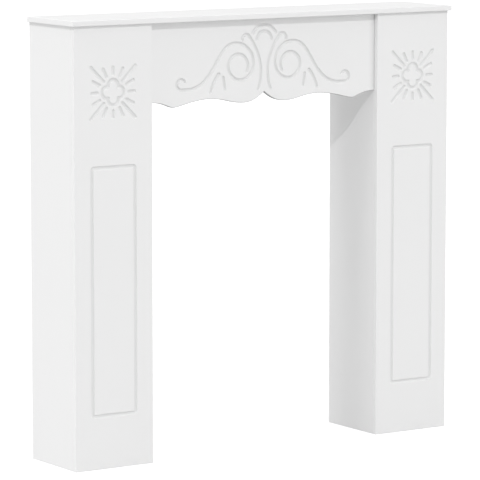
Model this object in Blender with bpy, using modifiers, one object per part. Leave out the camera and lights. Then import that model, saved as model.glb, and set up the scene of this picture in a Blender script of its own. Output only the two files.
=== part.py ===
import math

import bmesh
import bpy
from mathutils import Vector
from mathutils.geometry import interpolate_bezier

# A mantel surround of white painted boards. Two box pillars, open at the back, stand on
# the floor and carry a shelf. A carved frieze hangs between them over the fire opening.
# Metres, Z up. The front faces -Y, and the origin is on the floor under the shelf's middle.

# Overall size, which is the shelf's length and depth and the height of its top
OVERALL_LENGTH = 1.030
OVERALL_DEPTH = 0.200
OVERALL_HEIGHT = 1.000

# Boards
SHELF_THICKNESS = 0.012
FRONT_THICKNESS = 0.012
SIDE_THICKNESS = 0.012
FRIEZE_THICKNESS = 0.012
EDGE_RADIUS = 0.001
FIT_GAP = 0.0003

# How the boards stand to each other
SHELF_END_OVERHANG = 0.006
SHELF_FRONT_OVERHANG = 0.008
PILLAR_WIDTH = 0.202
FRIEZE_RECESS = 0.012

# Grooves cut by a round-nosed cutter
PILLAR_GROOVE_WIDTH = 0.0086
PILLAR_GROOVE_DEPTH = 0.0033
FRIEZE_GROOVE_WIDTH = 0.0080
FRIEZE_GROOVE_DEPTH = 0.0035
NOSE_ANGLES = (30, 58, 84)

# Angles and pieces that the curves are divided into. Lobes that cross have unlike angles, so
# that no facets of theirs meet edge to edge
ARC_STEP = 15
SMALL_ARC_STEP = 20
CORNER_STEP = 30
LOBE_STEPS = (17, 14)
EDGE_PIECES = 8
OPENING_PIECES = 18
ARM_PIECES = 14
LEAF_PIECES = 7
PETAL_SIDE_PIECES = 9
PETAL_FOOT_PIECES = 5

# Line panel on each pillar, measured to the middle of its groove
PANEL_SIDE_MARGIN = 0.0454
PANEL_TOP_DROP = 0.3135
PANEL_FOOT_HEIGHT = 0.1205
PANEL_CORNER_RADIUS = 0.005

# Sunburst on each pillar: a flower of four lobes, and rays given by the distances from its
# centre to the two ends of their grooves' middle lines
SUN_DROP = 0.1482
LOBE_OFFSET = 0.0150
LOBE_RADIUS = 0.0131
CUSP_OVERLAP_ANGLE = 5
AXIS_RAY = (0.0410, 0.0552)
MIDDLE_RAY = (0.0384, 0.0580)
MIDDLE_RAY_ANGLE = 26
CORNER_RAY = (0.0336, 0.0810)

# Scalloped lower edge of the frieze: how far each station hangs below the pillar tops,
# and where it lies along the half length, as a share of it
NOTCH_DROP = 0.166
INNER_LOBE_DROP = 0.189
CREST_DROP = 0.1765
OUTER_LOBE_DROP = 0.1915
FRIEZE_END_DROP = 0.178
INNER_LOBE_SHARE = 0.18
CREST_SHARE = 0.49
OUTER_LOBE_SHARE = 0.795

# How far each station's two handles reach, as shares of the way to its neighbours
NOTCH_REACH = (0.30, 0.60)
INNER_LOBE_REACH = (0.40, 0.38)
CREST_REACH = (0.45, 0.40)
OUTER_LOBE_REACH = (0.16, 0.16)
FRIEZE_END_REACH = 0.60

# Scrollwork on the frieze. It is drawn from the middle line towards the right end and from
# its own foot up, at this height and half length, and scaled to keep its margin to the
# shelf above and to the crests below
SCROLL_MARGIN = 0.0137
DRAWN_HEIGHT = 0.149
DRAWN_HALF_LENGTH = 0.240

# A volute starts at this angle in degrees, runs nearly once round and then opens out
VOLUTE_CENTRE = (0.0711, 0.0573)
VOLUTE_RADIUS = 0.0265
VOLUTE_OUTER_RADIUS = 0.0533
VOLUTE_START = 211
VOLUTE_RING_TURN = 256
VOLUTE_OPENING_TURN = 245

# Its arm falls away from it in one sweep and ends in a small curl
ARM_SHOULDER = 0.0423
ARM_SWEEP = 0.0730
CURL_LEAD = 0.0135
CURL_CENTRE = (0.2230, 0.0212)
CURL_RADIUS = 0.0116
CURL_END = 140

# A leaf under the arm: a bowed side, as its start, two handles and end, and a straight side
LEAF_BOW = ((0.1223, 0.0410), (0.1236, 0.0437), (0.1408, 0.0200), (0.1448, 0.0016))
LEAF_SIDE = ((0.1109, 0.0331), (0.1065, 0.0067))

# A tall petal beside the middle line, with a round top, a waist and a foot that turns out
PETAL_TOP_CENTRE = (0.0494, 0.1175)
PETAL_TOP_RADIUS = 0.0099
PETAL_TOP_START = -18
PETAL_TOP_END = 150
PETAL_SHOULDER = (0.0272, 0.1075)
PETAL_WAIST = (0.0092, 0.0454)
PETAL_WAIST_REACH = 0.0291
PETAL_FOOT_REACH = 0.0180
PETAL_ANKLE = (0.0118, 0.0140)
PETAL_FOOT = (0.0168, 0.0032)

# Two arches over the middle line, which start at this angle above the level
INNER_ARCH_HEIGHT = 0.1130
INNER_ARCH_RADIUS = 0.0204
INNER_ARCH_START = 7.5
OUTER_ARCH_HEIGHT = 0.1118
OUTER_ARCH_RADIUS = 0.0361
OUTER_ARCH_START = 30.5

PAINT_COLOUR = (0.84, 0.84, 0.835, 1.0)
PAINT_ROUGHNESS = 0.42

# Worked out from the sizes above
pillar_height = OVERALL_HEIGHT - SHELF_THICKNESS - FIT_GAP
pillar_front = SHELF_FRONT_OVERHANG - OVERALL_DEPTH / 2
pillar_side = OVERALL_LENGTH / 2 - SHELF_END_OVERHANG
pillar_middle = pillar_side - PILLAR_WIDTH / 2
opening_half = pillar_side - PILLAR_WIDTH
side_front = pillar_front + FRONT_THICKNESS + FIT_GAP
side_depth = OVERALL_DEPTH / 2 - side_front
frieze_half = opening_half - FIT_GAP


def clear_scene():
    for obj in list(bpy.data.objects):
        bpy.data.objects.remove(obj, do_unlink=True)


def new_collection(name):
    collection = bpy.data.collections.new(name)
    bpy.context.scene.collection.children.link(collection)
    return collection


def paint(name):
    material = bpy.data.materials.new(name + "_paint")
    material.use_nodes = True
    shader = material.node_tree.nodes["Principled BSDF"]
    shader.inputs["Base Color"].default_value = PAINT_COLOUR
    shader.inputs["Roughness"].default_value = PAINT_ROUGHNESS
    shader.inputs["Metallic"].default_value = 0.0
    return material


def make_object(name, data, collection, location=(0, 0, 0), rotation=(0, 0, 0)):
    obj = bpy.data.objects.new(name, data)
    obj.location = location
    obj.rotation_euler = rotation
    collection.objects.link(obj)
    return obj


def box_mesh(name, size):
    # A box centred on its own origin
    mesh = bpy.data.meshes.new(name)
    cage = bmesh.new()
    bmesh.ops.create_cube(cage, size=1.0)
    bmesh.ops.scale(cage, vec=Vector(size), verts=cage.verts)
    cage.to_mesh(mesh)
    cage.free()
    return mesh


def board(name, size, location, rotation=(0, 0, 0)):
    obj = make_object(name, box_mesh(name, size), mantel, location, rotation)
    obj.data.materials.append(paint(name))
    rounding = obj.modifiers.new("Rounded edges", "BEVEL")
    rounding.width = EDGE_RADIUS
    rounding.segments = 2
    obj.parent = surround
    return obj


def curve_to_mesh_object(obj, collection):
    # Curve pieces become meshes with their caps welded, as Booleans need them
    depsgraph = bpy.context.evaluated_depsgraph_get()
    mesh = bpy.data.meshes.new_from_object(obj.evaluated_get(depsgraph))
    cage = bmesh.new()
    cage.from_mesh(mesh)
    bmesh.ops.remove_doubles(cage, verts=cage.verts, dist=0.00001)
    bmesh.ops.recalc_face_normals(cage, faces=cage.faces)
    cage.to_mesh(mesh)
    cage.free()
    result = make_object(obj.name + "_solid", mesh, collection)
    result.matrix_world = obj.matrix_world
    bpy.data.objects.remove(obj, do_unlink=True)
    return result


def polar(radius, degrees):
    angle = math.radians(degrees)
    return Vector((math.cos(angle), math.sin(angle))) * radius


def arc(centre, radius, start, end, step=ARC_STEP):
    # Points on a circle, from one angle to another in degrees
    count = max(2, round(abs(end - start) / step))
    return [Vector(centre) + polar(radius, start + (end - start) * i / count) for i in range(count + 1)]


def bow(start, start_handle, end_handle, end, pieces):
    points = [Vector((p[0], p[1], 0)) for p in (start, start_handle, end_handle, end)]
    return [p.to_2d() for p in interpolate_bezier(*points, pieces + 1)]


def groove_cutter(name, path, width, depth, face, cutters, closed=False):
    # A round bar that lies in the board's face, so that it cuts a groove of this width and
    # depth. Its open ends taper to a round nose beyond the path's last points
    radius = (width * width / 4 + depth * depth) / (2 * depth)
    stations = [(point, 1.0) for point in path]
    if not closed:
        for nose, inner in ((path[0], path[1]), (path[-1], path[-2])):
            outward = (nose - inner).normalized()
            tip = [
                (nose + outward * radius * math.sin(a), math.cos(a))
                for a in map(math.radians, NOSE_ANGLES)
            ]
            stations = list(reversed(tip)) + stations if nose is path[0] else stations + tip
    curve = bpy.data.curves.new(name, "CURVE")
    curve.dimensions = "3D"
    curve.twist_mode = "Z_UP"
    curve.bevel_depth = radius
    curve.bevel_resolution = 2
    curve.use_fill_caps = True
    spline = curve.splines.new("POLY")
    spline.points.add(len(stations) - 1)
    spline.use_cyclic_u = closed
    for point, (place, share) in zip(spline.points, stations):
        point.co = (place.x, place.y, radius - depth, 1.0)
        point.radius = share
    bar = make_object(name, curve, cutters)
    bar.parent = face
    bpy.context.view_layer.update()
    solid = curve_to_mesh_object(bar, cutters)
    solid.hide_render = True
    solid.display_type = "WIRE"
    return solid


def carve(obj, cutters):
    cut = obj.modifiers.new("Grooves", "BOOLEAN")
    cut.operation = "DIFFERENCE"
    cut.solver = "EXACT"
    cut.operand_type = "COLLECTION"
    cut.collection = cutters


def face_origin(name, location):
    # The board's face as a drawing plane: X to the right, Y up and Z out of the front
    face = make_object(name, None, mantel, location, (math.radians(90), 0, 0))
    face.parent = surround
    return face


def panel_path():
    half = PILLAR_WIDTH / 2 - PANEL_SIDE_MARGIN - PANEL_CORNER_RADIUS
    top = pillar_height - PANEL_TOP_DROP - PANEL_CORNER_RADIUS
    foot = PANEL_FOOT_HEIGHT + PANEL_CORNER_RADIUS
    corners = ((half, top, 0), (-half, top, 90), (-half, foot, 180), (half, foot, 270))
    path = []
    for x, y, turn in corners:
        path += arc((x, y), PANEL_CORNER_RADIUS, turn, turn + 90, CORNER_STEP)
    return path


def sun_paths():
    # Four lobes, cut a little past their cusps, and sixteen rays of three lengths
    height = pillar_height - SUN_DROP
    half_chord = (LOBE_OFFSET + math.sqrt(2 * LOBE_RADIUS**2 - LOBE_OFFSET**2)) / 2
    cusp = math.degrees(math.atan2(half_chord, half_chord - LOBE_OFFSET)) + CUSP_OVERLAP_ANGLE
    paths = []
    for turn, step in zip((0, 90, 180, 270), LOBE_STEPS * 2):
        centre = Vector((0, height)) + polar(LOBE_OFFSET, turn)
        paths.append(arc(centre, LOBE_RADIUS, turn - cusp, turn + cusp, step))
        rays = [
            (turn, AXIS_RAY),
            (turn + MIDDLE_RAY_ANGLE, MIDDLE_RAY),
            (turn + 45, CORNER_RAY),
            (turn + 90 - MIDDLE_RAY_ANGLE, MIDDLE_RAY),
        ]
        for angle, ends in rays:
            paths.append([Vector((0, height)) + polar(distance, angle) for distance in ends])
    return paths


def pillar(name, side):
    # The front board covers the front edges of the two side boards
    size = (PILLAR_WIDTH, FRONT_THICKNESS, pillar_height)
    place = (side * pillar_middle, pillar_front + FRONT_THICKNESS / 2, pillar_height / 2)
    front = board(name + "_front_board", size, place)
    cutters = new_collection(name + "_front_grooves")
    face = face_origin(name + "_front_face", (side * pillar_middle, pillar_front, 0))
    groove = (PILLAR_GROOVE_WIDTH, PILLAR_GROOVE_DEPTH, face, cutters)
    groove_cutter(name + "_panel_line", panel_path(), *groove, closed=True)
    for index, path in enumerate(sun_paths()):
        groove_cutter(f"{name}_sun_{index}", path, *groove)

    side_size = (SIDE_THICKNESS, side_depth, pillar_height)
    for place_name, x in (
        ("outer", pillar_side - SIDE_THICKNESS / 2),
        ("inner", opening_half + SIDE_THICKNESS / 2),
    ):
        centre = (side * x, side_front + side_depth / 2, pillar_height / 2)
        board(f"{name}_{place_name}_side", side_size, centre)
    return front, cutters


def frieze_outline():
    # Half of the lower edge as Bezier stations: place, handle towards the middle and
    # handle towards the end. The notch in the middle is pointed, the lobes are round
    inner = frieze_half * INNER_LOBE_SHARE
    crest = frieze_half * CREST_SHARE
    outer = frieze_half * OUTER_LOBE_SHARE
    notch_fall = NOTCH_DROP - INNER_LOBE_DROP

    def level(place, inward, outward, reach):
        return place, ((inward - place[0]) * reach[0], 0), ((outward - place[0]) * reach[1], 0)

    return [
        ((0, -NOTCH_DROP), None, (inner * NOTCH_REACH[0], notch_fall * NOTCH_REACH[1])),
        level((inner, -INNER_LOBE_DROP), 0, crest, INNER_LOBE_REACH),
        level((crest, -CREST_DROP), inner, outer, CREST_REACH),
        level((outer, -OUTER_LOBE_DROP), crest, frieze_half, OUTER_LOBE_REACH),
        ((frieze_half, -FRIEZE_END_DROP), ((outer - frieze_half) * FRIEZE_END_REACH, 0), None),
    ]


def add_station(spline, index, place, before, after):
    point = spline.bezier_points[index]
    point.co = (place[0], place[1], 0)
    point.handle_left_type = "FREE" if before else "VECTOR"
    point.handle_right_type = "FREE" if after else "VECTOR"
    if before:
        point.handle_left = (place[0] + before[0], place[1] + before[1], 0)
    if after:
        point.handle_right = (place[0] + after[0], place[1] + after[1], 0)


def frieze():
    half = frieze_outline()
    mirrored = [
        ((-place[0], place[1]), after and (-after[0], after[1]), before and (-before[0], before[1]))
        for place, before, after in reversed(half[1:])
    ]
    notch = half[0]
    handle = notch[2]
    stations = mirrored + [(notch[0], (-handle[0], handle[1]), handle)] + half[1:]
    stations += [((frieze_half, 0), None, None), ((-frieze_half, 0), None, None)]

    outline = bpy.data.curves.new("frieze_outline", "CURVE")
    outline.dimensions = "2D"
    outline.fill_mode = "BOTH"
    outline.resolution_u = EDGE_PIECES
    outline.extrude = FRIEZE_THICKNESS / 2 - EDGE_RADIUS
    outline.bevel_depth = EDGE_RADIUS
    outline.bevel_resolution = 0
    outline.offset = -EDGE_RADIUS
    spline = outline.splines.new("BEZIER")
    spline.bezier_points.add(len(stations) - 1)
    spline.use_cyclic_u = True
    for index, station in enumerate(stations):
        add_station(spline, index, *station)

    front = pillar_front + FRIEZE_RECESS
    blank = make_object("frieze_blank", outline, mantel)
    blank.location = (0, front + FRIEZE_THICKNESS / 2, pillar_height)
    blank.rotation_euler = (math.radians(90), 0, 0)
    bpy.context.view_layer.update()
    piece = curve_to_mesh_object(blank, mantel)
    piece.name = "frieze_board"
    piece.parent = surround
    piece.data.materials.clear()
    piece.data.materials.append(paint("frieze_board"))

    cutters = new_collection("frieze_grooves")
    face = face_origin("frieze_face", (0, front, pillar_height))
    for index, path in enumerate(frieze_paths()):
        groove_cutter(f"scroll_{index}", path, FRIEZE_GROOVE_WIDTH, FRIEZE_GROOVE_DEPTH, face, cutters)
    return piece, cutters


def volute_path():
    # A ring that opens out into the scroll, drawn clockwise from its inner end
    ring_end = VOLUTE_START - VOLUTE_RING_TURN
    points = arc(VOLUTE_CENTRE, VOLUTE_RADIUS, VOLUTE_START, ring_end)
    for step in range(1, OPENING_PIECES + 1):
        share = step / OPENING_PIECES
        radius = VOLUTE_RADIUS + (VOLUTE_OUTER_RADIUS - VOLUTE_RADIUS) * share
        points.append(Vector(VOLUTE_CENTRE) + polar(radius, ring_end - VOLUTE_OPENING_TURN * share))
    return points


def scroll_path():
    volute = volute_path()
    curl = arc(CURL_CENTRE, CURL_RADIUS, -90, CURL_END, SMALL_ARC_STEP)
    away = (volute[-1] - volute[-2]).normalized()
    foot = curl[0] - Vector((CURL_LEAD, 0))
    sweep_handle = foot - Vector((ARM_SWEEP, 0))
    arm = bow(volute[-1], volute[-1] + away * ARM_SHOULDER, sweep_handle, foot, ARM_PIECES)
    return volute + arm[1:] + curl


def petal_path():
    top = arc(PETAL_TOP_CENTRE, PETAL_TOP_RADIUS, PETAL_TOP_START, PETAL_TOP_END, SMALL_ARC_STEP)
    waist = Vector(PETAL_WAIST)
    waist_handle = waist + Vector((0, PETAL_WAIST_REACH))
    foot_handle = waist - Vector((0, PETAL_FOOT_REACH))
    side = bow(top[-1], PETAL_SHOULDER, waist_handle, waist, PETAL_SIDE_PIECES)
    foot = bow(waist, foot_handle, PETAL_ANKLE, PETAL_FOOT, PETAL_FOOT_PIECES)
    return top + side[1:] + foot[1:]


def frieze_paths():
    # Middle lines of all the grooves on the frieze's face, in place below the pillar tops
    room_up = CREST_DROP - 2 * SCROLL_MARGIN
    room_along = frieze_half - SCROLL_MARGIN
    scale = min(room_up / DRAWN_HEIGHT, room_along / DRAWN_HALF_LENGTH)
    foot = Vector((0, -CREST_DROP / 2 - DRAWN_HEIGHT * scale / 2))

    leaf = [bow(*LEAF_BOW, LEAF_PIECES), [Vector(p) for p in LEAF_SIDE]]
    right = [scroll_path(), *leaf, petal_path()]
    left = [[Vector((-p.x, p.y)) for p in path] for path in right]
    arches = [
        arc((0, INNER_ARCH_HEIGHT), INNER_ARCH_RADIUS, INNER_ARCH_START, 180 - INNER_ARCH_START),
        arc((0, OUTER_ARCH_HEIGHT), OUTER_ARCH_RADIUS, OUTER_ARCH_START, 180 - OUTER_ARCH_START),
    ]
    return [[point * scale + foot for point in path] for path in right + left + arches]


def shelf():
    size = (OVERALL_LENGTH, OVERALL_DEPTH, SHELF_THICKNESS)
    board("mantel_shelf", size, (0, 0, OVERALL_HEIGHT - SHELF_THICKNESS / 2))


clear_scene()
mantel = new_collection("fireplace_mantelpiece")
surround = make_object("mantelpiece", None, mantel)
shelf()
for carved, grooves in (pillar("left", -1), pillar("right", 1), frieze()):
    carve(carved, grooves)
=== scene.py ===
import math

import bmesh
import bpy
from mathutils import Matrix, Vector
from mathutils.geometry import interpolate_bezier


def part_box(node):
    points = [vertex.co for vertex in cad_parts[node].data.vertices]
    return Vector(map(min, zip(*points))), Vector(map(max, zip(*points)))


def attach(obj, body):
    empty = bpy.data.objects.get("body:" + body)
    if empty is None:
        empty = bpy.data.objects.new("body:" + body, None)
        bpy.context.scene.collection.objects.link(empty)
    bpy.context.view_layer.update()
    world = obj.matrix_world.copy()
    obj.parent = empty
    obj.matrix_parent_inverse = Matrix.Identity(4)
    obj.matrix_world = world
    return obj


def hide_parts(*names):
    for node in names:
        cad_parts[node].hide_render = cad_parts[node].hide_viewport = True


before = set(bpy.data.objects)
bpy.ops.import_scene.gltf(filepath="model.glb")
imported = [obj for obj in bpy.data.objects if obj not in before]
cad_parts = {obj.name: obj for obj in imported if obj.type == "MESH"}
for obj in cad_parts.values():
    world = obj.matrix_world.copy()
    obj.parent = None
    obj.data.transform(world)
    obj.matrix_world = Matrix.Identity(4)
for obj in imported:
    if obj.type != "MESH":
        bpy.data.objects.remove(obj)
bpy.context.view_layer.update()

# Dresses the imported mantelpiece: finely carved boards, white paint, and a plain studio.
print("frame loaded:", len(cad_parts), "boards")


# Small helpers that every stage uses

standUp = (math.radians(90), 0, 0)     # turns a flat drawing up into a board's front face


def addObject(name, data):
    made = bpy.data.objects.new(name, data)
    bpy.context.scene.collection.objects.link(made)
    return made


def polar(radius, degrees):
    angle = math.radians(degrees)
    return Vector((math.cos(angle), math.sin(angle))) * radius


def arcPoints(centre, radius, start, end, spacing, fewest=3):
    length = math.radians(abs(end - start)) * radius
    count = max(fewest, math.ceil(length / spacing))
    angles = [start + (end - start) * i / count for i in range(count + 1)]
    return [Vector(centre) + polar(radius, angle) for angle in angles]


def bowPoints(start, startHandle, endHandle, end, spacing):
    # Points along one Bezier bow
    corners = [Vector((p[0], p[1], 0)) for p in (start, startHandle, endHandle, end)]
    length = sum((b - a).length for a, b in zip(corners, corners[1:]))
    return [p.to_2d() for p in interpolate_bezier(*corners, math.ceil(length / spacing) + 1)]


def plainMesh(made):
    # The evaluated result as a mesh of its own, with the modifiers gone
    depsgraph = bpy.context.evaluated_depsgraph_get()
    mesh = bpy.data.meshes.new_from_object(made.evaluated_get(depsgraph), depsgraph=depsgraph)
    made.modifiers.clear()
    return mesh


# Paint

paintLook = {
    "colour": (0.84, 0.84, 0.84),
    "shade": (0.828, 0.828, 0.828),    # a hair darker, in soft clouds
    "cloudSize": 0.16,
    "roughness": (0.40, 0.48),
    "peelSize": 0.0016,                # orange peel of a sprayed coat
    "peelHeight": 0.00003,
}

routedCoatAndShade = {
    "colour": (0.835, 0.835, 0.835),
    "shade": (0.82, 0.82, 0.82),
    "cloudSize": 0.03,
    "roughness": (0.50, 0.62),         # cut fibre drinks the paint and dries duller
    "peelSize": 0.0009,
    "peelHeight": 0.00005,
    "cutShadeColour": (0.75, 0.75, 0.75),  # painted shade, darker towards the bottom of a cut
    "cutShadeStart": 0.0003,
    "cutShadeEnd": 0.0034,
    "cutShadeFade": 1.6,
}

undersideShadeLook = {
    "colour": (0.45, 0.45, 0.45),      # painted shade on the faces that look down
    "shade": (0.42, 0.42, 0.42),
    "cloudSize": 0.03,
    "roughness": (0.55, 0.65),
    "peelSize": 0.0009,
    "peelHeight": 0.00005,
}

coatGrain = {
    "cloudDetail": 3,
    "cloudSpan": (0.3, 0.7),           # the noise from here to there spans the roughness
    "peelDetail": 2,
}


def mixColour(nodes, first, second):
    mix = nodes.new("ShaderNodeMix")
    mix.data_type = "RGBA"
    mix.inputs["A"].default_value = (*first, 1)
    mix.inputs["B"].default_value = (*second, 1)
    return mix


def paintShadeInCuts(nodes, links, look, colour):
    # Painted shade: the colour darkens towards the deep one by how far a point lies behind the
    # board's face
    depth = nodes.new("ShaderNodeAttribute")
    depth.attribute_name = "cutDepth"
    reach = nodes.new("ShaderNodeMapRange")
    reach.inputs["From Min"].default_value = look["cutShadeStart"]
    reach.inputs["From Max"].default_value = look["cutShadeEnd"]
    links.new(depth.outputs["Fac"], reach.inputs["Value"])
    fade = nodes.new("ShaderNodeMath")
    fade.operation = "POWER"
    fade.inputs[1].default_value = look["cutShadeFade"]
    links.new(reach.outputs["Result"], fade.inputs[0])
    mix = mixColour(nodes, look["colour"], look["cutShadeColour"])
    links.new(fade.outputs["Value"], mix.inputs["Factor"])
    links.new(colour, mix.inputs["A"])
    return mix.outputs["Result"]


def paintMaterial(name, look):
    material = bpy.data.materials.new(name)
    material.use_nodes = True
    nodes, links = material.node_tree.nodes, material.node_tree.links
    shader = nodes["Principled BSDF"]
    place = nodes.new("ShaderNodeTexCoord")

    clouds = nodes.new("ShaderNodeTexNoise")
    clouds.inputs["Scale"].default_value = 1 / look["cloudSize"]
    clouds.inputs["Detail"].default_value = coatGrain["cloudDetail"]
    links.new(place.outputs["Object"], clouds.inputs["Vector"])
    tint = mixColour(nodes, look["colour"], look["shade"])
    links.new(clouds.outputs["Fac"], tint.inputs["Factor"])
    colour = tint.outputs["Result"]
    # Painted shade in the grooves, deepening with the depth of the cut
    if "cutShadeColour" in look:
        colour = paintShadeInCuts(nodes, links, look, colour)
    links.new(colour, shader.inputs["Base Color"])

    gloss = nodes.new("ShaderNodeMapRange")
    gloss.inputs["From Min"].default_value = coatGrain["cloudSpan"][0]
    gloss.inputs["From Max"].default_value = coatGrain["cloudSpan"][1]
    gloss.inputs["To Min"].default_value = look["roughness"][0]
    gloss.inputs["To Max"].default_value = look["roughness"][1]
    links.new(clouds.outputs["Fac"], gloss.inputs["Value"])
    links.new(gloss.outputs["Result"], shader.inputs["Roughness"])

    peel = nodes.new("ShaderNodeTexNoise")
    peel.inputs["Scale"].default_value = 1 / look["peelSize"]
    peel.inputs["Detail"].default_value = coatGrain["peelDetail"]
    links.new(place.outputs["Object"], peel.inputs["Vector"])
    bump = nodes.new("ShaderNodeBump")
    bump.inputs["Distance"].default_value = look["peelHeight"]
    links.new(peel.outputs["Fac"], bump.inputs["Height"])
    links.new(bump.outputs["Normal"], shader.inputs["Normal"])
    return material


boardPaint = paintMaterial("boardPaint", paintLook)
# The groove paint is duller and carries painted shade in the cuts
groovePaintAndShade = paintMaterial("groovePaintAndShade", routedCoatAndShade)
undersideShadePaint = paintMaterial("undersideShadePaint", undersideShadeLook)
print("paint mixed")


# Grooves. A ball-nosed cutter runs along curves that lie in the board's front face.
# A motif can be turned round its centre or mirrored, and the other lines are cut once.

def addSocket(tree, name, kind, side="INPUT"):
    return tree.interface.new_socket(name=name, in_out=side, socket_type="NodeSocket" + kind)


def grooveTree():
    tree = bpy.data.node_groups.new("cutGrooves", "GeometryNodeTree")
    addSocket(tree, "Geometry", "Geometry")
    addSocket(tree, "Motif", "Object")
    addSocket(tree, "Motif turns", "Int")
    addSocket(tree, "Motif mirrored", "Bool")
    addSocket(tree, "Motif place", "Vector")
    addSocket(tree, "Other lines", "Object")
    addSocket(tree, "Cutter profile", "Object")
    addSocket(tree, "Face place", "Vector")
    addSocket(tree, "Face turn", "Vector")
    addSocket(tree, "Board paint", "Material")
    addSocket(tree, "Groove paint and shade", "Material")
    addSocket(tree, "Geometry", "Geometry", "OUTPUT")
    nodes, links = tree.nodes, tree.links

    def node(kind, **settings):
        made = nodes.new(kind)
        for key, value in settings.items():
            setattr(made, key, value)
        return made

    def join(source, output, target, socket):
        links.new(source.outputs[output], target.inputs[socket])

    given = node("NodeGroupInput")
    motif = node("GeometryNodeObjectInfo")
    join(given, "Motif", motif, "Object")

    # Turned copies: one curve on each of a few points that share a place and differ in angle
    points = node("GeometryNodePoints")
    join(given, "Motif turns", points, "Count")
    number = node("GeometryNodeInputIndex")
    share = node("ShaderNodeMath", operation="DIVIDE")
    join(number, "Index", share, 0)
    join(given, "Motif turns", share, 1)
    angle = node("ShaderNodeMath", operation="MULTIPLY")
    angle.inputs[1].default_value = math.tau
    join(share, "Value", angle, 0)
    spin = node("ShaderNodeCombineXYZ")
    join(angle, "Value", spin, "Z")
    turned = node("GeometryNodeInstanceOnPoints")
    join(points, "Points", turned, "Points")
    join(motif, "Geometry", turned, "Instance")
    join(spin, "Vector", turned, "Rotation")

    # The mirrored copy, when it is asked for
    mirror = node("GeometryNodeTransform")
    mirror.inputs["Scale"].default_value = (-1, 1, 1)
    join(turned, "Instances", mirror, "Geometry")
    wanted = node("GeometryNodeSwitch", input_type="GEOMETRY")
    join(given, "Motif mirrored", wanted, "Switch")
    join(mirror, "Geometry", wanted, "True")
    both = node("GeometryNodeJoinGeometry")
    join(turned, "Instances", both, "Geometry")
    join(wanted, "Output", both, "Geometry")
    placed = node("GeometryNodeTransform")
    join(both, "Geometry", placed, "Geometry")
    join(given, "Motif place", placed, "Translation")

    others = node("GeometryNodeObjectInfo")
    join(given, "Other lines", others, "Object")
    lines = node("GeometryNodeJoinGeometry")
    join(placed, "Geometry", lines, "Geometry")
    join(others, "Geometry", lines, "Geometry")
    real = node("GeometryNodeRealizeInstances")
    join(lines, "Geometry", real, "Geometry")

    profile = node("GeometryNodeObjectInfo")
    join(given, "Cutter profile", profile, "Object")
    width = node("GeometryNodeInputRadius")
    sweep = node("GeometryNodeCurveToMesh")
    sweep.inputs["Fill Caps"].default_value = True
    join(real, "Geometry", sweep, "Curve")
    join(profile, "Geometry", sweep, "Profile Curve")
    join(width, "Radius", sweep, "Scale")
    stand = node("GeometryNodeTransform")
    join(sweep, "Mesh", stand, "Geometry")
    join(given, "Face place", stand, "Translation")
    join(given, "Face turn", stand, "Rotation")
    dull = node("GeometryNodeSetMaterial")
    join(stand, "Geometry", dull, "Geometry")
    join(given, "Groove paint and shade", dull, "Material")

    painted = node("GeometryNodeSetMaterial")
    join(given, "Geometry", painted, "Geometry")
    join(given, "Board paint", painted, "Material")
    cut = node("GeometryNodeMeshBoolean", operation="DIFFERENCE", solver="EXACT")
    cut.inputs["Self Intersection"].default_value = True
    join(painted, "Geometry", cut, "Mesh 1")
    join(dull, "Geometry", cut, "Mesh 2")

    # Each point keeps how far it lies behind the board's face, which the groove paint reads for its
    # painted shade
    here = node("GeometryNodeInputPosition")
    behind = node("ShaderNodeVectorMath", operation="SUBTRACT")
    join(here, "Position", behind, 0)
    join(given, "Face place", behind, 1)
    axes = node("ShaderNodeSeparateXYZ")
    join(behind, "Vector", axes, "Vector")
    kept = node("GeometryNodeStoreNamedAttribute", data_type="FLOAT", domain="POINT")
    kept.inputs["Name"].default_value = "cutDepth"
    join(cut, "Mesh", kept, "Geometry")
    join(axes, "Y", kept, "Value")

    whole = node("GeometryNodeRealizeInstances")
    join(kept, "Geometry", whole, "Geometry")
    grooved = node("GeometryNodeMaterialSelection")
    join(given, "Groove paint and shade", grooved, "Material")
    last = node("GeometryNodeSetMaterial")
    join(whole, "Geometry", last, "Geometry")
    join(grooved, "Selection", last, "Selection")
    join(given, "Groove paint and shade", last, "Material")
    result = node("NodeGroupOutput")
    join(last, "Geometry", result, "Geometry")
    return tree


cutGrooves = grooveTree()

cutterLook = {
    "noseSteps": 7,
    "noseAngle": 86,          # degrees round the ball at which the end of a line stops
    "ballPieces": 14,
    "pathSpacing": 0.0014,
    "lipRadius": 0.0004,      # the paint softens the lip of every groove
    "lipPieces": 3,
    "lipRunOut": 14,          # slope in degrees at which the lip meets the face
    "clearance": 0.002,       # how far the cutter stands above the face
    "lidFlare": 0.5,          # how much it widens on each side for its height there
    "sharpAngle": 40,
    "weldReach": 0.000002,    # edges shorter than this close up
    "chipFaces": 40,          # a loose bit with fewer faces than this is a chip
}


def cutterProfile(name, radius, depth):
    # Section of the cut about the ball's centre: ball, softened lips, and a lid above the face
    lip, slope = cutterLook["lipRadius"], math.radians(cutterLook["lipRunOut"])
    turn = math.acos((radius - depth + lip * math.cos(slope)) / (radius + lip))
    centre = Vector((math.sin(turn), -math.cos(turn))) * (radius + lip)
    pieces = cutterLook["lipPieces"]
    angles = [turn + (slope - turn) * i / pieces for i in range(1, pieces + 1)]
    side = [centre + Vector((-math.sin(a), math.cos(a))) * lip for a in angles]
    top = depth - radius + cutterLook["clearance"]
    rim = side[-1]
    side.append(Vector((rim.x + (top - rim.y) * cutterLook["lidFlare"], top)))
    half = cutterLook["ballPieces"] // 2
    ball = [polar(radius, -90 + math.degrees(turn) * i / half) for i in range(-half, half + 1)]
    outline = [Vector((-p.x, p.y)) for p in reversed(side)] + ball + side
    curve = bpy.data.curves.new(name, "CURVE")
    curve.dimensions = "3D"
    spline = curve.splines.new("POLY")
    spline.points.add(len(outline) - 1)
    spline.use_cyclic_u = True
    for point, place in zip(spline.points, reversed(outline)):
        point.co = (place.x, -place.y, 0, 1)    # a swept section's own Y points down
    return addObject(name, curve)


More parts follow.
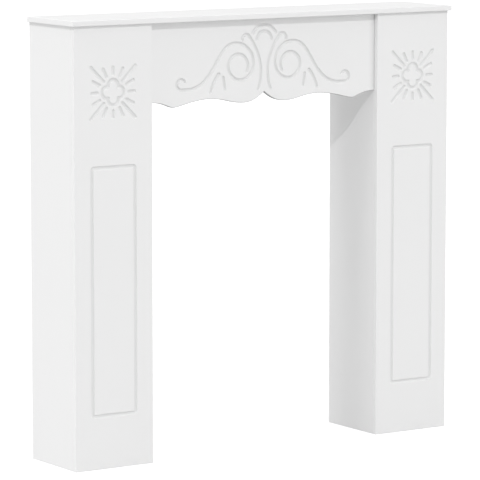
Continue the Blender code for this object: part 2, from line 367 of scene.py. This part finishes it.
def grooveCurve(name, paths, closed, radius, depth):
    # Middle lines of the ball's centre, with ends that taper as the ball does
    curve = bpy.data.curves.new(name, "CURVE")
    curve.dimensions = "3D"
    curve.twist_mode = "Z_UP"
    for path in paths:
        stations = [(point, 1.0) for point in path]
        if not closed:
            steps, turn = cutterLook["noseSteps"], cutterLook["noseAngle"]
            angles = [math.radians(turn * (i + 1) / steps) for i in range(steps)]
            for tip, inner, last in ((path[0], path[1], False), (path[-1], path[-2], True)):
                away = (tip - inner).normalized()
                nose = [(tip + away * radius * math.sin(a), math.cos(a)) for a in angles]
                stations = stations + nose if last else nose[::-1] + stations
        spline = curve.splines.new("POLY")
        spline.points.add(len(stations) - 1)
        spline.use_cyclic_u = closed
        for point, (place, share) in zip(spline.points, stations):
            point.co = (place.x, place.y, radius - depth, 1)
            point.radius = share
    return addObject(name, curve)


def ballRadius(width, depth):
    # The ball that leaves a groove of this width when it goes this deep
    return (width * width / 4 + depth * depth) / (2 * depth)


def setInput(modifier, name, value):
    for socket in modifier.node_group.interface.items_tree:
        if socket.name == name and socket.in_out == "INPUT":
            modifier[socket.identifier] = value


def tidyCut(mesh):
    # Chips that the cutter left loose go, and faces without area close up
    cage = bmesh.new()
    cage.from_mesh(mesh)
    bmesh.ops.triangulate(cage, faces=cage.faces)
    bmesh.ops.dissolve_degenerate(cage, edges=cage.edges, dist=cutterLook["weldReach"])
    waiting = set(cage.faces)
    chips = []
    while waiting:
        island = [waiting.pop()]
        for face in island:
            near = {other for edge in face.edges for other in edge.link_faces} & waiting
            waiting -= near
            island.extend(near)
        if len(island) < cutterLook["chipFaces"]:
            chips.extend(island)
    bmesh.ops.delete(cage, geom=chips, context="FACES")
    cage.to_mesh(mesh)
    cage.free()


def carveBoard(blank, motif, turns, mirrored, motifPlace, others, profile, facePlace):
    # Blank in, carved and softened board out, as one plain mesh at the origin
    cut = blank.modifiers.new("Grooves", "NODES")
    cut.node_group = cutGrooves
    setInput(cut, "Motif", motif)
    setInput(cut, "Motif turns", turns)
    setInput(cut, "Motif mirrored", mirrored)
    setInput(cut, "Motif place", motifPlace)
    setInput(cut, "Other lines", others)
    setInput(cut, "Cutter profile", profile)
    setInput(cut, "Face place", facePlace)
    setInput(cut, "Face turn", standUp)
    setInput(cut, "Board paint", boardPaint)
    setInput(cut, "Groove paint and shade", groovePaintAndShade)

    blank.data = plainMesh(blank)
    tidyCut(blank.data)
    blank.data.shade_smooth()
    blank.data.set_sharp_from_angle(angle=math.radians(cutterLook["sharpAngle"]))
    even = blank.modifiers.new("Flat faces", "WEIGHTED_NORMAL")
    even.keep_sharp = True
    blank.data = plainMesh(blank)
    for guide in (motif, others, profile):
        bpy.data.objects.remove(guide, do_unlink=True)
    return blank


# Pillar fronts

pillarCarving = {
    "edgeRadius": 0.001,
    "edgeSegments": 3,
    "grooveWidth": 0.0086,
    "grooveDepth": 0.0033,
    "panelSideMargin": 0.0454,
    "panelTopDrop": 0.3135,
    "panelFootHeight": 0.1205,
    "panelCornerRadius": 0.005,
    "sunDrop": 0.1482,
    "lobeOffset": 0.0150,
    "lobeRadius": 0.0131,
    "cuspOverlap": 2,                  # degrees by which two lobes run into each other
    "axisRay": (0.0410, 0.0552),       # each ray's inner and outer end, from the middle
    "middleRay": (0.0384, 0.0580),
    "middleRayAngle": 26,
    "cornerRay": (0.0336, 0.0810),
}


def panelPath(width, height, look):
    radius = look["panelCornerRadius"]
    half = width / 2 - look["panelSideMargin"] - radius
    top = height - look["panelTopDrop"] - radius
    foot = look["panelFootHeight"] + radius
    corners = ((half, top, 0), (-half, top, 90), (-half, foot, 180), (half, foot, 270))
    spacing = cutterLook["pathSpacing"]
    return [p for x, y, turn in corners for p in arcPoints((x, y), radius, turn, turn + 90, spacing)]


def sunQuarter(look):
    # A quarter of the sunburst: one lobe and four rays, turned by the node tree
    quarter = 90
    offset, radius = look["lobeOffset"], look["lobeRadius"]
    chord = (offset + math.sqrt(2 * radius**2 - offset**2)) / 2
    cusp = math.degrees(math.atan2(chord, chord - offset)) + look["cuspOverlap"]
    lobe = arcPoints((offset, 0), radius, -cusp, cusp, cutterLook["pathSpacing"])
    side = look["middleRayAngle"]
    rays = (
        (0, look["axisRay"]),
        (side, look["middleRay"]),
        (quarter / 2, look["cornerRay"]),
        (quarter - side, look["middleRay"]),
    )
    return [lobe] + [[polar(distance, angle) for distance in ends] for angle, ends in rays]


def boardBlank(name, low, high, radius, segments):
    # A plain board with rounded edges, which a profile of 0.5 makes quarter circles
    mesh = bpy.data.meshes.new(name)
    cage = bmesh.new()
    bmesh.ops.create_cube(cage, size=1)
    bmesh.ops.scale(cage, vec=high - low, verts=cage.verts)
    bmesh.ops.translate(cage, vec=(low + high) / 2, verts=cage.verts)
    edges = cage.edges[:]
    bmesh.ops.bevel(cage, geom=edges, offset=radius, segments=segments, profile=0.5, affect="EDGES")
    cage.to_mesh(mesh)
    cage.free()
    return addObject(name, mesh)


def pillarFront(pieceName, nodeName, look):
    low, high = (Vector(corner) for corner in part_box(nodeName))
    middle = (low.x + high.x) / 2
    height = high.z - low.z
    depth = look["grooveDepth"]
    radius = ballRadius(look["grooveWidth"], depth)
    blank = boardBlank(pieceName, low, high, look["edgeRadius"], look["edgeSegments"])
    sun = grooveCurve("sunLines", sunQuarter(look), False, radius, depth)
    frameLine = panelPath(high.x - low.x, height, look)
    panel = grooveCurve("panelLine", [frameLine], True, radius, depth)
    profile = cutterProfile("pillarCutter", radius, depth)
    turns, mirrored = 4, False         # four quarters make the sunburst
    sunPlace = (0, height - look["sunDrop"], 0)
    facePlace = (middle, low.y, low.z)
    piece = carveBoard(blank, sun, turns, mirrored, sunPlace, panel, profile, facePlace)
    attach(piece, "root")
    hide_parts(nodeName)
    print(pieceName, "carved:", len(piece.data.polygons), "faces")


pillarFront("carvedLeftFront", "left_front_board", pillarCarving)
pillarFront("carvedRightFront", "right_front_board", pillarCarving)


# Frieze

friezeEdge = {
    "edgeRadius": 0.0018,
    "edgeSegments": 3,
    "weldReach": 0.00001,
    "curvePieces": 28,
    # how far each station hangs below the top, its share of the half length, and its handles
    "notch": (0.166, 0, (0.30, 0.60)),
    "innerLobe": (0.189, 0.18, (0.40, 0.38)),
    "crest": (0.1765, 0.49, (0.45, 0.40)),
    "outerLobe": (0.1915, 0.795, (0.16, 0.16)),
    "end": (0.178, 1, (0.60, 0)),
    "shadeFacing": -0.3,                # faces that look down more than this get the painted shade
}

scrollCarving = {
    "grooveWidth": 0.0080,
    "grooveDepth": 0.0035,
    "margin": 0.0137,
    "drawnHeight": 0.149,              # the drawing below has this size and is fitted to the board
    "drawnHalfLength": 0.240,
    "voluteCentre": (0.0711, 0.0573),
    "voluteRadius": 0.0265,
    "voluteOuterRadius": 0.0533,
    "voluteStart": 211,
    "voluteRingTurn": 256,
    "voluteOpeningTurn": 245,
    "voluteEase": 30,                  # turn over which the ring gives way to the opening
    "armShoulder": 0.0423,
    "armSweep": 0.0730,
    "curlLead": 0.0135,
    "curlCentre": (0.2230, 0.0212),
    "curlRadius": 0.0116,
    "curlEnd": 140,
    "leafBow": ((0.1223, 0.0410), (0.1236, 0.0437), (0.1408, 0.0200), (0.1448, 0.0016)),
    "leafSide": ((0.1109, 0.0331), (0.1065, 0.0067)),
    "petalTopCentre": (0.0494, 0.1175),
    "petalTopRadius": 0.0099,
    "petalTopTurn": (-18, 150),
    "petalShoulder": (0.0272, 0.1075),
    "petalWaist": (0.0092, 0.0454),
    "petalWaistReach": 0.0291,
    "petalFootReach": 0.0180,
    "petalAnkle": (0.0118, 0.0140),
    "petalFoot": (0.0168, 0.0032),
    "arches": ((0.1130, 0.0204, 7.5), (0.1118, 0.0361, 30.5)),   # height, radius, start angle
}


def friezeBlank(name, nodeName, look):
    # The scalloped board: half an outline of Bezier stations, mirrored and closed at the top
    low, high = (Vector(corner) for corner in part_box(nodeName))
    halfLength = (high.x - low.x) / 2
    keys = ("notch", "innerLobe", "crest", "outerLobe", "end")
    half = [(look[key][1] * halfLength, -look[key][0], look[key][2]) for key in keys]
    fall = half[1][1] - half[0][1]
    stations = []
    for index, (x, z, reach) in enumerate(half):
        before = half[index - 1][0] - x if index else 0
        after = half[index + 1][0] - x if index + 1 < len(half) else 0
        if index == 0:
            side, drop = after * reach[0], fall * reach[1]
            stations.append((x, z, (-side, drop), (side, drop)))
        else:
            stations.append((x, z, (before * reach[0], 0), (after * reach[1], 0)))
    mirrored = [(-x, z, (-b[0], b[1]), (-a[0], a[1])) for x, z, a, b in reversed(stations[1:])]
    outline = mirrored + stations

    curve = bpy.data.curves.new(name, "CURVE")
    curve.dimensions = "2D"
    curve.fill_mode = "BOTH"
    curve.resolution_u = look["curvePieces"]
    curve.extrude = (high.y - low.y) / 2 - look["edgeRadius"]
    curve.bevel_depth = look["edgeRadius"]
    curve.bevel_resolution = look["edgeSegments"]
    curve.offset = -look["edgeRadius"]
    spline = curve.splines.new("BEZIER")
    spline.bezier_points.add(len(outline) + 1)
    spline.use_cyclic_u = True
    for point, (x, z, before, after) in zip(spline.bezier_points, outline):
        point.handle_left_type = point.handle_right_type = "FREE"
        point.co = (x, z, 0)
        point.handle_left = (x + before[0], z + before[1], 0)
        point.handle_right = (x + after[0], z + after[1], 0)
    for point, x in zip(spline.bezier_points[-2:], (halfLength, -halfLength)):
        point.co = (x, 0, 0)
    for point in (spline.bezier_points[0], *spline.bezier_points[-2:]):
        point.handle_left_type = "VECTOR"
    for point in (spline.bezier_points[len(outline) - 1], *spline.bezier_points[-2:]):
        point.handle_right_type = "VECTOR"
    guide = addObject(name + "_outline", curve)
    guide.location = ((low.x + high.x) / 2, (low.y + high.y) / 2, high.z)
    guide.rotation_euler = standUp
    bpy.context.view_layer.update()
    mesh = plainMesh(guide)
    mesh.transform(guide.matrix_world)
    cage = bmesh.new()
    cage.from_mesh(mesh)
    bmesh.ops.remove_doubles(cage, verts=cage.verts, dist=look["weldReach"])
    bmesh.ops.recalc_face_normals(cage, faces=cage.faces)
    cage.to_mesh(mesh)
    cage.free()
    mesh.name = name
    bpy.data.objects.remove(guide, do_unlink=True)
    return addObject(name, mesh)


def paintUndersideShade(board, facing):
    # Faces outside the grooves that look down get a darker coat of painted shade
    board.data.materials.append(undersideShadePaint)
    shadeSlot = len(board.data.materials) - 1
    for face in board.data.polygons:
        if face.normal.z < facing and board.data.materials[face.material_index] == boardPaint:
            face.material_index = shadeSlot


def scrollPath(look, spacing):
    # Volute from its inner end outwards, then the long arm, then the curl at its tip
    centre = Vector(look["voluteCentre"])
    ease = look["voluteEase"]
    ringEnd = look["voluteStart"] - look["voluteRingTurn"] + ease / 2
    points = arcPoints(centre, look["voluteRadius"], look["voluteStart"], ringEnd, spacing)
    opening = look["voluteOpeningTurn"] + ease / 2
    growth = (look["voluteOuterRadius"] - look["voluteRadius"]) / look["voluteOpeningTurn"]
    steps = math.ceil(math.radians(opening) * look["voluteOuterRadius"] / spacing)
    for step in range(1, steps + 1):
        turned = opening * step / steps
        eased = turned**2 / (2 * ease) if turned < ease else turned - ease / 2
        points.append(centre + polar(look["voluteRadius"] + growth * eased, ringEnd - turned))
    curl = arcPoints(look["curlCentre"], look["curlRadius"], -90, look["curlEnd"], spacing)
    away = (points[-1] - points[-2]).normalized()
    foot = curl[0] - Vector((look["curlLead"], 0))
    shoulder = points[-1] + away * look["armShoulder"]
    arm = bowPoints(points[-1], shoulder, foot - Vector((look["armSweep"], 0)), foot, spacing)
    return points + arm[1:] + curl


def petalPath(look, spacing):
    # From the hooked top over the shoulder and the waist down to the foot
    start, end = look["petalTopTurn"]
    top = arcPoints(look["petalTopCentre"], look["petalTopRadius"], start, end, spacing)
    waist = Vector(look["petalWaist"])
    above = waist + Vector((0, look["petalWaistReach"]))
    below = waist - Vector((0, look["petalFootReach"]))
    side = bowPoints(top[-1], look["petalShoulder"], above, waist, spacing)
    foot = bowPoints(waist, below, look["petalAnkle"], look["petalFoot"], spacing)
    return top + side[1:] + foot[1:]


def friezeFront(pieceName, nodeName, edge, look):
    low, high = (Vector(corner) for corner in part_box(nodeName))
    crest = edge["crest"][0]
    roomUp = crest - 2 * look["margin"]
    roomAlong = (high.x - low.x) / 2 - look["margin"]
    scale = min(roomUp / look["drawnHeight"], roomAlong / look["drawnHalfLength"])
    spacing = cutterLook["pathSpacing"]
    foot = -crest / 2 - look["drawnHeight"] * scale / 2
    half = [scrollPath(look, spacing), bowPoints(*look["leafBow"], spacing)]
    half += [[Vector(p) for p in look["leafSide"]], petalPath(look, spacing)]
    arches = [arcPoints((0, up), r, start, 180 - start, spacing) for up, r, start in look["arches"]]
    depth = look["grooveDepth"]
    radius = ballRadius(look["grooveWidth"], depth)
    place = Vector((0, foot))

    def scaled(paths):
        return [[point * scale for point in path] for path in paths]

    archPaths = [[point + place for point in path] for path in scaled(arches)]
    blank = friezeBlank(pieceName, nodeName, edge)
    scroll = grooveCurve("scrollLines", scaled(half), False, radius, depth)
    others = grooveCurve("archLines", archPaths, False, radius, depth)
    profile = cutterProfile("friezeCutter", radius, depth)
    turns, mirrored = 1, True          # one half, and the same again on the other side
    scrollPlace = (0, foot, 0)
    facePlace = ((low.x + high.x) / 2, low.y, high.z)
    piece = carveBoard(blank, scroll, turns, mirrored, scrollPlace, others, profile, facePlace)
    # The frieze's downward-facing faces get painted shade
    paintUndersideShade(piece, edge["shadeFacing"])
    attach(piece, "root")
    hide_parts(nodeName)
    print(pieceName, "carved:", len(piece.data.polygons), "faces")


friezeFront("carvedFrieze", "frieze_board", friezeEdge, scrollCarving)


# Plain boards keep their shape from the frame and take the paint

plainBoards = (
    "mantel_shelf",
    "left_outer_side",
    "left_inner_side",
    "right_outer_side",
    "right_inner_side",
)

for nodeName in plainBoards:
    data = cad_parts[nodeName].data
    data.materials.clear()
    data.materials.append(boardPaint)
print("plain boards painted")


# Studio

studio = {
    "floorSize": 60,
    "floorColour": (0.5, 0.5, 0.5),
    "floorRoughness": 0.9,
    "floorSheen": 0.1,
    "floorGlow": 0.13,                 # a little more than the floor would give back
    "floorShown": 0.68,                # the same where the camera looks straight at it
    "backdrop": 1.0,
    "skyLeft": 0.21,                   # each share of the sky fades to nothing on the far side
    "skyBack": 0.28,
    "skyOverhead": 0.9,
    "keyTravel": (0.58, 1.0, -0.81),
    "keyPower": 0.84,
    "keySoftness": 1.2,
    "fillTravel": (-0.633, 0.754, -0.174),
    "fillPower": 0.82,
    "fillSoftness": 40,
    "sunDistance": 4,                  # where both lamps stand, which their light doesn't depend on
    "lowSoftbox": ((-14.9, 0, 2.1), (3.95, 3.15), 240),    # place, width and height, watts
    "highSoftbox": ((-9.4, 0, 12.2), (3.95, 4.75), 440),
    "softboxTarget": (0, 0, 0.5),
}


def makeFloor(look):
    mesh = bpy.data.meshes.new("studioFloor")
    cage = bmesh.new()
    bmesh.ops.create_grid(cage, x_segments=1, y_segments=1, size=look["floorSize"] / 2)
    cage.to_mesh(mesh)
    cage.free()
    floor = addObject("studioFloor", mesh)
    material = bpy.data.materials.new("studioWhite")
    material.use_nodes = True
    nodes, links = material.node_tree.nodes, material.node_tree.links
    shader = nodes["Principled BSDF"]
    shader.inputs["Base Color"].default_value = (*look["floorColour"], 1)
    shader.inputs["Roughness"].default_value = look["floorRoughness"]
    shader.inputs["Specular IOR Level"].default_value = look["floorSheen"]
    shader.inputs["Emission Color"].default_value = (1, 1, 1, 1)
    path = nodes.new("ShaderNodeLightPath")
    glow = nodes.new("ShaderNodeMapRange")
    glow.inputs["To Min"].default_value = look["floorGlow"]
    glow.inputs["To Max"].default_value = look["floorShown"]
    links.new(path.outputs["Is Camera Ray"], glow.inputs["Value"])
    links.new(glow.outputs["Result"], shader.inputs["Emission Strength"])
    mesh.materials.append(material)


def aimAt(lamp, target):
    lamp.rotation_euler = (Vector(target) - lamp.location).to_track_quat("-Z", "Y").to_euler()


def sunLight(name, travel, power, softness, distance):
    data = bpy.data.lights.new(name, "SUN")
    data.energy = power
    data.angle = math.radians(softness)
    lamp = addObject(name, data)
    lamp.location = Vector(travel) * -distance
    aimAt(lamp, (0, 0, 0))


def softbox(name, setting, target):
    place, size, power = setting
    data = bpy.data.lights.new(name, "AREA")
    data.shape = "RECTANGLE"
    data.size, data.size_y = size
    data.energy = power
    lamp = addObject(name, data)
    lamp.location = place
    aimAt(lamp, target)


def makeLights(look):
    away = look["sunDistance"]
    sunLight("keyLight", look["keyTravel"], look["keyPower"], look["keySoftness"], away)
    sunLight("fillLight", look["fillTravel"], look["fillPower"], look["fillSoftness"], away)
    softbox("lowSoftbox", look["lowSoftbox"], look["softboxTarget"])
    softbox("highSoftbox", look["highSoftbox"], look["softboxTarget"])


def makeSurroundings(look):
    # Soft light that grows to the left, behind and overhead,
    # and plain white where the camera looks
    world = bpy.data.worlds.new("studioWorld")
    bpy.context.scene.world = world
    world.use_nodes = True
    nodes, links = world.node_tree.nodes, world.node_tree.links
    direction = nodes.new("ShaderNodeTexCoord")
    axes = nodes.new("ShaderNodeSeparateXYZ")
    links.new(direction.outputs["Generated"], axes.inputs["Vector"])

    def share(axis, dark, bright, strength):
        part = nodes.new("ShaderNodeMapRange")
        part.inputs["From Min"].default_value = dark
        part.inputs["From Max"].default_value = bright
        part.inputs["To Max"].default_value = strength
        links.new(axes.outputs[axis], part.inputs["Value"])
        return part.outputs["Result"]

    def added(first, second):
        total = nodes.new("ShaderNodeMath")
        links.new(first, total.inputs[0])
        links.new(second, total.inputs[1])
        return total.outputs["Value"]

    sides = added(share("X", 1, -1, look["skyLeft"]), share("Y", -1, 1, look["skyBack"]))
    soft = nodes["Background"]
    soft.inputs["Color"].default_value = (1, 1, 1, 1)
    links.new(added(sides, share("Z", 0, 1, look["skyOverhead"])), soft.inputs["Strength"])
    white = nodes.new("ShaderNodeBackground")
    white.inputs["Color"].default_value = (1, 1, 1, 1)
    white.inputs["Strength"].default_value = look["backdrop"]
    path = nodes.new("ShaderNodeLightPath")
    mix = nodes.new("ShaderNodeMixShader")
    links.new(path.outputs["Is Camera Ray"], mix.inputs["Fac"])
    links.new(soft.outputs["Background"], mix.inputs[1])
    links.new(white.outputs["Background"], mix.inputs[2])
    links.new(mix.outputs["Shader"], nodes["World Output"].inputs["Surface"])


makeFloor(studio)
makeLights(studio)
makeSurroundings(studio)
bpy.context.scene.view_settings.view_transform = "Standard"
print("studio set")


# Camera, fitted to the corners of the boards

cameraSetup = {
    "place": (-4.2607, -6.4274, 1.4846),
    "yaw": 33.4594,
    "pitch": 7.4741,
    "lens": 253.551,
    "sensor": 36,
    "farthest": 200,                   # the camera sees no farther than this
}


def makeCamera(look):
    data = bpy.data.cameras.new("photoCamera")
    data.sensor_width = look["sensor"]
    data.lens = look["lens"]
    data.clip_end = look["farthest"]
    camera = addObject("photoCamera", data)
    camera.location = look["place"]
    camera.rotation_euler = (math.radians(90 - look["pitch"]), 0, math.radians(-look["yaw"]))
    bpy.context.scene.camera = camera


makeCamera(cameraSetup)
